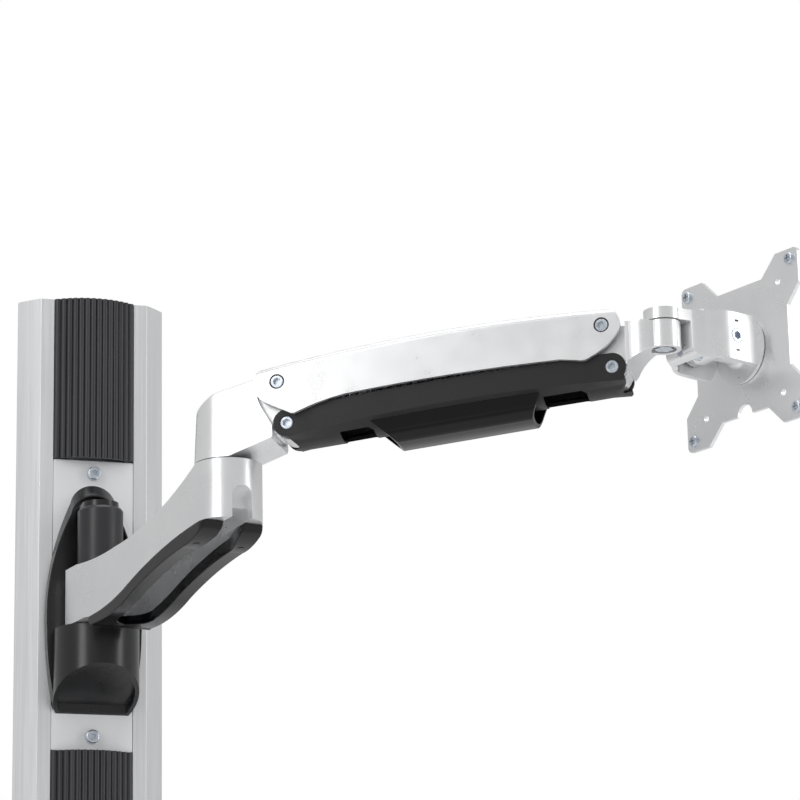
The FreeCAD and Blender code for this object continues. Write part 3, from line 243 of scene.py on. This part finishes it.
def zinc_fastener():
    """Bright zinc plate, slightly blue and cloudy."""
    material, shader = new_material("zinc_plate", (0.55, 0.61, 0.70), metallic=0.95, roughness=0.26)
    cloud = noise(material, 260.0)
    tint(material, shader, cloud, (0.50, 0.56, 0.63), (0.68, 0.72, 0.77))
    roughen(material, shader, cloud, low=0.22, high=0.36)
    return material


def spring_steel():
    """Oiled spring wire."""
    material, shader = new_material("spring_wire", (0.48, 0.49, 0.51), metallic=0.95, roughness=0.30)
    cloud = noise(material, 400.0)
    tint(material, shader, cloud, (0.38, 0.39, 0.41), (0.56, 0.57, 0.59))
    roughen(material, shader, cloud, low=0.24, high=0.38)
    return material


def nylon():
    """Dark moulded nylon."""
    material, shader = new_material("dark_nylon", (0.018, 0.018, 0.020), metallic=0.0, roughness=0.46)
    roughen(material, shader, noise(material, 120.0), low=0.40, high=0.54)
    return material


def bearing_ring():
    """Turned steel ring with fine concentric marks."""
    material, shader = new_material("turned_steel", (0.66, 0.67, 0.68), metallic=0.9, roughness=0.30)
    cloud = noise(material, 700.0, stretch=(1.0, 1.0, 0.2))
    tint(material, shader, cloud, (0.58, 0.59, 0.60), (0.74, 0.75, 0.76))
    roughen(material, shader, cloud, low=0.24, high=0.38)
    return material


MATERIALS = {
    "silver_casting": silver_casting(),
    "anodised_track": anodised_track(),
    "plate_steel": plate_steel(),
    "black_casting": black_casting(),
    "ribbed_cover": ribbed_cover(),
    "gloss_black_plastic": gloss_black_plastic(),
    "fine_texture_black": fine_texture_black(),
    "dark_sleeve": dark_sleeve(),
    "zinc_fastener": zinc_fastener(),
    "spring_steel": spring_steel(),
    "nylon": nylon(),
    "bearing_ring": bearing_ring(),
}

# Radius of the rounding that each kind of finish has along its edges.
EDGE_RADIUS = {
    "silver_casting": 0.0009,
    "anodised_track": 0.0004,
    "plate_steel": 0.0004,
    "black_casting": 0.0010,
    "ribbed_cover": 0.0002,
    "gloss_black_plastic": 0.0006,
    "fine_texture_black": 0.0008,
    "dark_sleeve": 0.0005,
    "zinc_fastener": 0.0002,
    "bearing_ring": 0.0002,
}


WELD_DISTANCE = 0.000002
FLAT_ANGLE = math.radians(0.03)     # faces closer than this to one plane become one
SHARP_ANGLE = math.radians(32.0)    # edges sharper than this are rounded


def dress_node(thing, slot):
    """Give a CAD node its finish and round its edges."""
    for holder in thing.material_slots:
        holder.material = MATERIALS[slot]
    if slot not in EDGE_RADIUS:
        return
    weld = thing.modifiers.new("weld", "WELD")
    weld.merge_threshold = WELD_DISTANCE
    merging = thing.modifiers.new("flat_faces", "DECIMATE")
    merging.decimate_type = "DISSOLVE"
    merging.angle_limit = FLAT_ANGLE
    rounding = thing.modifiers.new("rounding", "BEVEL")
    rounding.width = EDGE_RADIUS[slot]
    rounding.segments = 3
    rounding.limit_method = "ANGLE"
    rounding.angle_limit = SHARP_ANGLE
    rounding.use_clamp_overlap = True
    shading = thing.modifiers.new("shading", "WEIGHTED_NORMAL")
    shading.keep_sharp = False


for part in frame["record"]["subparts"]:
    dress_node(frame["nodes"][part["node"]], part["material_slot"])


# ---- springs --------------------------------------------------------------------------

COIL_STEPS = 28  # straight steps in a turn of a coil


def coil(name, start, along, side, radius, wire, turns, pitch):
    """A wound wire spring as a tube along a helix."""
    along = along.normalized()
    side = side.normalized()
    other = along.cross(side)
    steps = int(turns * COIL_STEPS)
    points = []
    for step in range(steps + 1):
        angle = math.tau * turns * step / steps
        arm = side * math.cos(angle) + other * math.sin(angle)
        points.append(start + along * (pitch * turns * step / steps) + arm * radius)
    data = bpy.data.curves.new(name, "CURVE")
    data.dimensions = "3D"
    data.bevel_depth = wire / 2
    data.bevel_resolution = 3
    data.use_fill_caps = True
    spline = data.splines.new("POLY")
    spline.points.add(len(points) - 1)
    for spot, place in zip(spline.points, points):
        spot.co = (*place, 1.0)
    piece = bpy.data.objects.new(name, data)
    data.materials.append(MATERIALS["spring_steel"])
    bpy.context.scene.collection.objects.link(piece)
    return piece


def joint_named(name):
    """The joint's entry in the frame."""
    return next(joint for joint in frame["joints"] if joint["name"] == name)


def middle(name):
    """Middle of a node's box."""
    low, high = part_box(name)
    return (Vector(low) + Vector(high)) / 2


def lift_spring():
    """Counterbalance spring between its seat and the tension washer."""
    along = Vector(joint_named("spring_pull")["axis"]).normalized()
    centre = middle("lift_spring")
    length, end_gap = 0.1311, 0.0015
    radius, wire, turns = 0.0106, 0.0028, 18.5
    start = centre - along * (length / 2 - end_gap)
    pitch = (length - 2 * end_gap) / turns
    piece = coil("lift_spring_wire", start, along, Vector((0, 0, 1)), radius, wire, turns, pitch)
    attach(piece, "lower_link")
    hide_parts("lift_spring")


lift_spring()


def tilt_springs():
    """Two torsion springs wound round the tilt axle."""
    axis = Vector(joint_named("tilt")["axis"]).normalized()
    centre = middle("tilt_axle")
    radius, wire, turns = 0.0099, 0.0018, 3.0
    pitch = wire * 1.02
    inner_end = 0.0129
    down = Vector((0, 0, -1))
    for number, side in enumerate((-1, 1), start=1):
        start = centre + axis * side * (inner_end + wire / 2)
        name = "tilt_spring_wire_%d" % number
        piece = coil(name, start, axis * side, down, radius, wire, turns, pitch)
        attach(piece, "pan_head")
    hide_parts("tilt_spring")


tilt_springs()


# ---- screws of the cable lips ---------------------------------------------------------

LIP_SCREW_OUTLINE = [(0.0008, 0.0002), (0.0014, 0.0), (0.0025, 0.0), (0.0027, 0.0004), (0.0027, 0.0022)]
LIP_SCREW_ROWS = [(0.047, -0.0296), (0.200, -0.0081)]  # reach from the base shaft, height of the underside
LIP_SCREW_OFFSET = 0.0160  # to each side of the middle of the arm


def turned_mesh(name, outline, place):
    """A small turned piece about the vertical: the outline is (radius, height)."""
    around = 24
    points = []
    for radius, height in outline:
        for step in range(around):
            angle = math.tau * step / around
            points.append((place[0] + radius * math.cos(angle), place[1] + radius * math.sin(angle),
                           place[2] + height))
    faces = [tuple(reversed(range(around)))]
    for ring in range(len(outline) - 1):
        low = ring * around
        for step in range(around):
            after = (step + 1) % around
            faces.append((low + step, low + after, low + around + after, low + around + step))
    last = (len(outline) - 1) * around
    faces.append(tuple(range(last, last + around)))
    data = bpy.data.meshes.new(name)
    data.from_pydata(points, [], faces)
    data.update()
    piece = bpy.data.objects.new(name, data)
    bpy.context.scene.collection.objects.link(piece)
    return piece


def lip_screws():
    """Four small screws under the lower arm, two at each end of the lips."""
    base = Vector(joint_named("base_swivel")["pos_m"])
    elbow = Vector(joint_named("elbow_swivel")["pos_m"])
    along = (elbow - base).normalized()
    across = along.cross(Vector((0, 0, 1)))
    spots = [(row, side) for row in LIP_SCREW_ROWS for side in (-1, 1)]
    for number, ((reach, low), side) in enumerate(spots, start=1):
        spot = base + along * reach + across * side * LIP_SCREW_OFFSET
        piece = turned_mesh("lip_screw_%d" % number, LIP_SCREW_OUTLINE, (spot.x, spot.y, low))
        piece.data.materials.append(MATERIALS["dark_sleeve"])
        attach(piece, "lower_arm")


lip_screws()


# ---- stage and light ------------------------------------------------------------------

FLOOR_RADIUS = 9.0
FLOOR_HEIGHT = -0.8
ROOM_STRENGTH = 0.77
ROOM_BELOW = (0.22, 0.22, 0.225, 1.0)
ROOM_ABOVE = (0.95, 0.95, 0.95, 1.0)
LIGHT_TARGET = (0.15, -0.2, 0.0)


def make_floor():
    """Pale floor well below the arm, seen from above only."""
    bpy.ops.mesh.primitive_circle_add(vertices=96, radius=FLOOR_RADIUS, fill_type="NGON",
                                      location=(0, 0, FLOOR_HEIGHT))
    floor = bpy.context.object
    floor.name = "floor"
    material, shader = new_material("pale_floor", (0.93, 0.93, 0.93), metallic=0.0, roughness=0.7)
    tree = material.node_tree
    facing = node(material, "ShaderNodeNewGeometry")
    clear = node(material, "ShaderNodeBsdfTransparent")
    mix = node(material, "ShaderNodeMixShader")
    join(material, facing.outputs["Backfacing"], mix.inputs["Fac"])
    join(material, shader.outputs["BSDF"], mix.inputs[1])
    join(material, clear.outputs["BSDF"], mix.inputs[2])
    join(material, mix.outputs["Shader"], tree.nodes["Material Output"].inputs["Surface"])
    floor.data.materials.append(material)


def area_light(name, place, target, width, height, power):
    """A rectangular light that faces its target."""
    data = bpy.data.lights.new(name, "AREA")
    data.shape = "RECTANGLE"
    data.size = width
    data.size_y = height
    data.energy = power
    light = bpy.data.objects.new(name, data)
    light.location = place
    light.rotation_euler = (Vector(target) - Vector(place)).to_track_quat("-Z", "Y").to_euler()
    bpy.context.scene.collection.objects.link(light)


def make_world():
    """White to the camera; to the arm it is pale overhead and darker towards the floor."""
    world = bpy.data.worlds.new("studio")
    world.use_nodes = True
    tree = world.node_tree
    room = tree.nodes["Background"]
    white = tree.nodes.new("ShaderNodeBackground")
    white.inputs["Color"].default_value = (1.0, 1.0, 1.0, 1.0)
    direction = tree.nodes.new("ShaderNodeTexCoord")
    parts = tree.nodes.new("ShaderNodeSeparateXYZ")
    height = tree.nodes.new("ShaderNodeValToRGB")
    height.color_ramp.elements[0].position = 0.0
    height.color_ramp.elements[0].color = ROOM_BELOW
    height.color_ramp.elements[1].position = 1.0
    height.color_ramp.elements[1].color = ROOM_ABOVE
    shift = tree.nodes.new("ShaderNodeMapRange")
    shift.inputs["From Min"].default_value = -1.0
    ray = tree.nodes.new("ShaderNodeLightPath")
    mix = tree.nodes.new("ShaderNodeMixShader")
    tree.links.new(direction.outputs["Generated"], parts.inputs["Vector"])
    tree.links.new(parts.outputs["Z"], shift.inputs["Value"])
    tree.links.new(shift.outputs["Result"], height.inputs["Fac"])
    tree.links.new(height.outputs["Color"], room.inputs["Color"])
    room.inputs["Strength"].default_value = ROOM_STRENGTH
    tree.links.new(ray.outputs["Is Camera Ray"], mix.inputs["Fac"])
    tree.links.new(room.outputs["Background"], mix.inputs[1])
    tree.links.new(white.outputs["Background"], mix.inputs[2])
    tree.links.new(mix.outputs["Shader"], tree.nodes["World Output"].inputs["Surface"])
    bpy.context.scene.world = world


def make_light():
    """Key from the left, fill from the right and a wide light overhead."""
    area_light("key", (-1.7, -1.5, 1.0), LIGHT_TARGET, width=0.7, height=1.8, power=15.0)
    area_light("fill", (1.9, -1.4, 0.4), LIGHT_TARGET, width=0.5, height=1.8, power=10.0)
    area_light("top", (0.2, -0.4, 2.0), LIGHT_TARGET, width=1.4, height=1.4, power=12.0)


make_floor()
make_world()
make_light()
bpy.context.scene.view_settings.view_transform = "Standard"
